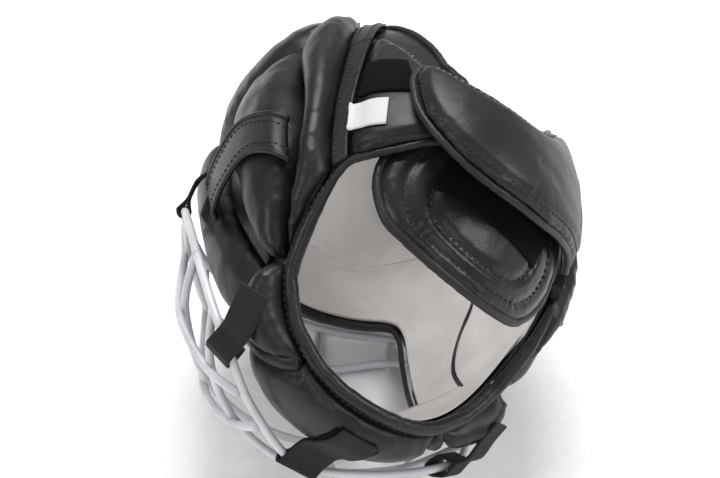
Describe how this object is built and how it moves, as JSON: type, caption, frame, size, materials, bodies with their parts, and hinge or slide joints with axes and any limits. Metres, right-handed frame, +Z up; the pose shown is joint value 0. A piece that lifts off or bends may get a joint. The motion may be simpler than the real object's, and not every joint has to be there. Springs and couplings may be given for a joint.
{
  "type": "full face sparring helmet",
  "caption": "Padded full face sparring helmet with ear pads, a welded wire face cage, webbing straps, soft lining and a hook and loop closure at the nape, lying on its front.",
  "frame": {"origin": "middle of the bottom of the bounding box, on the floor the helmet lies on", "axes": "+Z up as the helmet lies, -Y out of the neck opening, -X towards the wearer's left front"},
  "size_m": [0.253, 0.2938, 0.2638],
  "materials": {
    "leather": "satin grained",
    "strap_leather": "satin grained",
    "lining": "matt",
    "webbing": "woven matt",
    "loop": "napped",
    "label": "matt",
    "cage": "smooth coated"
  },
  "bodies": {
    "root": {"front_shell": "leather", "crown_pad_middle": "leather", "crown_pad_left": "leather", "crown_pad_right": "leather", "ear_pad_left": "leather", "ear_pad_right": "leather", "ear_gusset_left": "leather", "ear_gusset_right": "leather", "side_panel_left": "leather", "side_panel_right": "leather", "back_flap_left": "leather", "closure_flap": "leather", "jaw_pad_left": "leather", "jaw_pad_right": "leather", "chin_pad": "leather", "neck_pad": "leather", "window_piping": "leather", "neck_binding": "leather", "seam_strip_left": "strap_leather", "seam_strip_right": "strap_leather", "ear_strap_left": "strap_leather", "ear_strap_right": "strap_leather", "front_lining": "lining", "crown_lining": "lining", "side_lining_left": "lining", "side_lining_right": "lining", "temple_tab_left": "webbing", "temple_tab_right": "webbing", "jaw_strap_left": "webbing", "jaw_strap_right": "webbing", "chin_strap": "webbing", "back_loop_patch": "loop", "neck_loop_strip": "loop", "chin_loop_patch": "loop", "blank_label": "label", "face_cage": "cage"}
  },
  "joints": []
}
